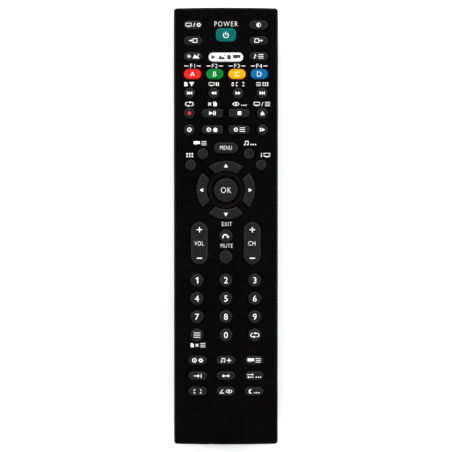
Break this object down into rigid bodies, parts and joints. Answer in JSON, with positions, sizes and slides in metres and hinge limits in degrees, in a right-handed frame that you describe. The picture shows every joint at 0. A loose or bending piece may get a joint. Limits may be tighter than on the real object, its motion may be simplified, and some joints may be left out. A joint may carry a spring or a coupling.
{
  "type": "remote control",
  "caption": "Long slim black handset with a silicone keypad, colour keys, arrow ring, rocker keys, infrared window and sliding battery cover.",
  "frame": {"origin": "middle of the resting surface, under the centre of the housing", "axes": "+X to the right with the key face up, +Y towards the infrared end, +Z out of the key face"},
  "size_m": [0.05, 0.2102, 0.0217],
  "materials": {
    "front_plastic": "satin near-black moulded plastic",
    "rear_plastic": "fine-grained black moulded plastic",
    "window_plastic": "polished deep red infrared plastic",
    "key_rubber": "dark grey silicone rubber",
    "teal_rubber": "teal silicone rubber",
    "white_rubber": "white silicone rubber",
    "red_rubber": "red silicone rubber",
    "green_rubber": "green silicone rubber",
    "yellow_rubber": "yellow silicone rubber",
    "blue_rubber": "blue silicone rubber",
    "mat_rubber": "grey silicone rubber",
    "board_laminate": "green solder mask on laminate",
    "chip_plastic": "black moulding compound",
    "resonator_ceramic": "orange dipped ceramic",
    "capacitor_sleeve": "dark blue shrink sleeve",
    "resistor_ceramic": "black coated ceramic",
    "led_plastic": "clear faintly blue lens",
    "contact_metal": "nickel-plated spring steel",
    "cell_jacket": "printed film jacket"
  },
  "bodies": {
    "housing": {"front_shell": "front_plastic", "rear_shell": "rear_plastic", "ir_window": "window_plastic", "keypad_mat": "mat_rubber", "circuit_board": "board_laminate", "controller_chip": "chip_plastic", "resonator": "resonator_ceramic", "smoothing_capacitor": "capacitor_sleeve", "driver_transistor": "chip_plastic", "chip_resistors": "resistor_ceramic", "ir_led": "led_plastic", "contact_plate_positive": "contact_metal", "contact_spring_negative": "contact_metal", "contact_bridge": "contact_metal", "cell_left": "cell_jacket", "cell_right": "cell_jacket"},
    "battery_cover": {"battery_cover": "rear_plastic"},
    "key_power": {"key_power": "teal_rubber"},
    "key_wide": {"key_wide": "white_rubber"},
    "keys_left_column": {"keys_left_column": "key_rubber"},
    "keys_right_column": {"keys_right_column": "key_rubber"},
    "key_red": {"key_red": "red_rubber"},
    "key_green": {"key_green": "green_rubber"},
    "key_yellow": {"key_yellow": "yellow_rubber"},
    "key_blue": {"key_blue": "blue_rubber"},
    "keys_skip_row": {"keys_skip_row": "key_rubber"},
    "key_record": {"key_record": "key_rubber"},
    "key_play_pause": {"key_play_pause": "key_rubber"},
    "key_stop": {"key_stop": "key_rubber"},
    "key_eject": {"key_eject": "key_rubber"},
    "keys_disc_row": {"keys_disc_row": "key_rubber"},
    "key_menu": {"key_menu": "key_rubber"},
    "key_upper_left": {"key_upper_left": "key_rubber"},
    "key_upper_right": {"key_upper_right": "key_rubber"},
    "key_lower_left": {"key_lower_left": "key_rubber"},
    "key_lower_right": {"key_lower_right": "key_rubber"},
    "key_up": {"key_up": "key_rubber"},
    "key_down": {"key_down": "key_rubber"},
    "key_left": {"key_left": "key_rubber"},
    "key_right": {"key_right": "key_rubber"},
    "key_ok": {"key_ok": "key_rubber"},
    "key_return": {"key_return": "key_rubber"},
    "key_mute": {"key_mute": "key_rubber"},
    "key_1": {"key_1": "key_rubber"},
    "key_2": {"key_2": "key_rubber"},
    "key_3": {"key_3": "key_rubber"},
    "key_4": {"key_4": "key_rubber"},
    "key_5": {"key_5": "key_rubber"},
    "key_6": {"key_6": "key_rubber"},
    "key_7": {"key_7": "key_rubber"},
    "key_8": {"key_8": "key_rubber"},
    "key_9": {"key_9": "key_rubber"},
    "key_0": {"key_0": "key_rubber"},
    "key_list": {"key_list": "key_rubber"},
    "key_swap": {"key_swap": "key_rubber"},
    "keys_function_row_1": {"keys_function_row_1": "key_rubber"},
    "keys_function_row_2": {"keys_function_row_2": "key_rubber"},
    "keys_function_row_3": {"keys_function_row_3": "key_rubber"},
    "rocker_volume": {"rocker_volume": "key_rubber"},
    "rocker_channel": {"rocker_channel": "key_rubber"}
  },
  "joints": [
    {"name": "cover_slide", "type": "slide", "parent": "housing", "child": "battery_cover", "axis": [0, -1, 0], "range_m": [0, 0.06]},
    {"name": "key_power_press", "type": "slide", "parent": "housing", "child": "key_power", "axis": [0, 0, -1], "range_m": [0, 0.001], "stiffness_N_per_m": 1200},
    {"name": "key_wide_press", "type": "slide", "parent": "housing", "child": "key_wide", "axis": [0, 0, -1], "range_m": [0, 0.001], "stiffness_N_per_m": 1200},
    {"name": "keys_left_column_press", "type": "slide", "parent": "housing", "child": "keys_left_column", "axis": [0, 0, -1], "range_m": [0, 0.001], "stiffness_N_per_m": 1200},
    {"name": "keys_right_column_press", "type": "slide", "parent": "housing", "child": "keys_right_column", "axis": [0, 0, -1], "range_m": [0, 0.001], "stiffness_N_per_m": 1200},
    {"name": "key_red_press", "type": "slide", "parent": "housing", "child": "key_red", "axis": [0, 0, -1], "range_m": [0, 0.001], "stiffness_N_per_m": 1200},
    {"name": "key_green_press", "type": "slide", "parent": "housing", "child": "key_green", "axis": [0, 0, -1], "range_m": [0, 0.001], "stiffness_N_per_m": 1200},
    {"name": "key_yellow_press", "type": "slide", "parent": "housing", "child": "key_yellow", "axis": [0, 0, -1], "range_m": [0, 0.001], "stiffness_N_per_m": 1200},
    {"name": "key_blue_press", "type": "slide", "parent": "housing", "child": "key_blue", "axis": [0, 0, -1], "range_m": [0, 0.001], "stiffness_N_per_m": 1200},
    {"name": "keys_skip_row_press", "type": "slide", "parent": "housing", "child": "keys_skip_row", "axis": [0, 0, -1], "range_m": [0, 0.001], "stiffness_N_per_m": 1200},
    {"name": "key_record_press", "type": "slide", "parent": "housing", "child": "key_record", "axis": [0, 0, -1], "range_m": [0, 0.001], "stiffness_N_per_m": 1200},
    {"name": "key_play_pause_press", "type": "slide", "parent": "housing", "child": "key_play_pause", "axis": [0, 0, -1], "range_m": [0, 0.001], "stiffness_N_per_m": 1200},
    {"name": "key_stop_press", "type": "slide", "parent": "housing", "child": "key_stop", "axis": [0, 0, -1], "range_m": [0, 0.001], "stiffness_N_per_m": 1200},
    {"name": "key_eject_press", "type": "slide", "parent": "housing", "child": "key_eject", "axis": [0, 0, -1], "range_m": [0, 0.001], "stiffness_N_per_m": 1200},
    {"name": "keys_disc_row_press", "type": "slide", "parent": "housing", "child": "keys_disc_row", "axis": [0, 0, -1], "range_m": [0, 0.001], "stiffness_N_per_m": 1200},
    {"name": "key_menu_press", "type": "slide", "parent": "housing", "child": "key_menu", "axis": [0, 0, -1], "range_m": [0, 0.001], "stiffness_N_per_m": 1200},
    {"name": "key_upper_left_press", "type": "slide", "parent": "housing", "child": "key_upper_left", "axis": [0, 0, -1], "range_m": [0, 0.001], "stiffness_N_per_m": 1200},
    {"name": "key_upper_right_press", "type": "slide", "parent": "housing", "child": "key_upper_right", "axis": [0, 0, -1], "range_m": [0, 0.001], "stiffness_N_per_m": 1200},
    {"name": "key_lower_left_press", "type": "slide", "parent": "housing", "child": "key_lower_left", "axis": [0, 0, -1], "range_m": [0, 0.001], "stiffness_N_per_m": 1200},
    {"name": "key_lower_right_press", "type": "slide", "parent": "housing", "child": "key_lower_right", "axis": [0, 0, -1], "range_m": [0, 0.001], "stiffness_N_per_m": 1200},
    {"name": "key_up_press", "type": "slide", "parent": "housing", "child": "key_up", "axis": [0, 0, -1], "range_m": [0, 0.001], "stiffness_N_per_m": 1200},
    {"name": "key_down_press", "type": "slide", "parent": "housing", "child": "key_down", "axis": [0, 0, -1], "range_m": [0, 0.001], "stiffness_N_per_m": 1200},
    {"name": "key_left_press", "type": "slide", "parent": "housing", "child": "key_left", "axis": [0, 0, -1], "range_m": [0, 0.001], "stiffness_N_per_m": 1200},
    {"name": "key_right_press", "type": "slide", "parent": "housing", "child": "key_right", "axis": [0, 0, -1], "range_m": [0, 0.001], "stiffness_N_per_m": 1200},
    {"name": "key_ok_press", "type": "slide", "parent": "housing", "child": "key_ok", "axis": [0, 0, -1], "range_m": [0, 0.001], "stiffness_N_per_m": 1200},
    {"name": "key_return_press", "type": "slide", "parent": "housing", "child": "key_return", "axis": [0, 0, -1], "range_m": [0, 0.001], "stiffness_N_per_m": 1200},
    {"name": "key_mute_press", "type": "slide", "parent": "housing", "child": "key_mute", "axis": [0, 0, -1], "range_m": [0, 0.001], "stiffness_N_per_m": 1200},
    {"name": "key_1_press", "type": "slide", "parent": "housing", "child": "key_1", "axis": [0, 0, -1], "range_m": [0, 0.001], "stiffness_N_per_m": 1200},
    {"name": "key_2_press", "type": "slide", "parent": "housing", "child": "key_2", "axis": [0, 0, -1], "range_m": [0, 0.001], "stiffness_N_per_m": 1200},
    {"name": "key_3_press", "type": "slide", "parent": "housing", "child": "key_3", "axis": [0, 0, -1], "range_m": [0, 0.001], "stiffness_N_per_m": 1200},
    {"name": "key_4_press", "type": "slide", "parent": "housing", "child": "key_4", "axis": [0, 0, -1], "range_m": [0, 0.001], "stiffness_N_per_m": 1200},
    {"name": "key_5_press", "type": "slide", "parent": "housing", "child": "key_5", "axis": [0, 0, -1], "range_m": [0, 0.001], "stiffness_N_per_m": 1200},
    {"name": "key_6_press", "type": "slide", "parent": "housing", "child": "key_6", "axis": [0, 0, -1], "range_m": [0, 0.001], "stiffness_N_per_m": 1200},
    {"name": "key_7_press", "type": "slide", "parent": "housing", "child": "key_7", "axis": [0, 0, -1], "range_m": [0, 0.001], "stiffness_N_per_m": 1200},
    {"name": "key_8_press", "type": "slide", "parent": "housing", "child": "key_8", "axis": [0, 0, -1], "range_m": [0, 0.001], "stiffness_N_per_m": 1200},
    {"name": "key_9_press", "type": "slide", "parent": "housing", "child": "key_9", "axis": [0, 0, -1], "range_m": [0, 0.001], "stiffness_N_per_m": 1200},
    {"name": "key_0_press", "type": "slide", "parent": "housing", "child": "key_0", "axis": [0, 0, -1], "range_m": [0, 0.001], "stiffness_N_per_m": 1200},
    {"name": "key_list_press", "type": "slide", "parent": "housing", "child": "key_list", "axis": [0, 0, -1], "range_m": [0, 0.001], "stiffness_N_per_m": 1200},
    {"name": "key_swap_press", "type": "slide", "parent": "housing", "child": "key_swap", "axis": [0, 0, -1], "range_m": [0, 0.001], "stiffness_N_per_m": 1200},
    {"name": "keys_function_row_1_press", "type": "slide", "parent": "housing", "child": "keys_function_row_1", "axis": [0, 0, -1], "range_m": [0, 0.001], "stiffness_N_per_m": 1200},
    {"name": "keys_function_row_2_press", "type": "slide", "parent": "housing", "child": "keys_function_row_2", "axis": [0, 0, -1], "range_m": [0, 0.001], "stiffness_N_per_m": 1200},
    {"name": "keys_function_row_3_press", "type": "slide", "parent": "housing", "child": "keys_function_row_3", "axis": [0, 0, -1], "range_m": [0, 0.001], "stiffness_N_per_m": 1200},
    {"name": "rocker_volume_tilt", "type": "hinge", "parent": "housing", "child": "rocker_volume", "pos_m": [-0.0127, -0.0078, 0.0179], "axis": [1, 0, 0], "range_deg": [-4, 4], "stiffness_Nm_per_rad": 0.2},
    {"name": "rocker_channel_tilt", "type": "hinge", "parent": "housing", "child": "rocker_channel", "pos_m": [0.0127, -0.0078, 0.0179], "axis": [1, 0, 0], "range_deg": [-4, 4], "stiffness_Nm_per_rad": 0.2}
  ]
}
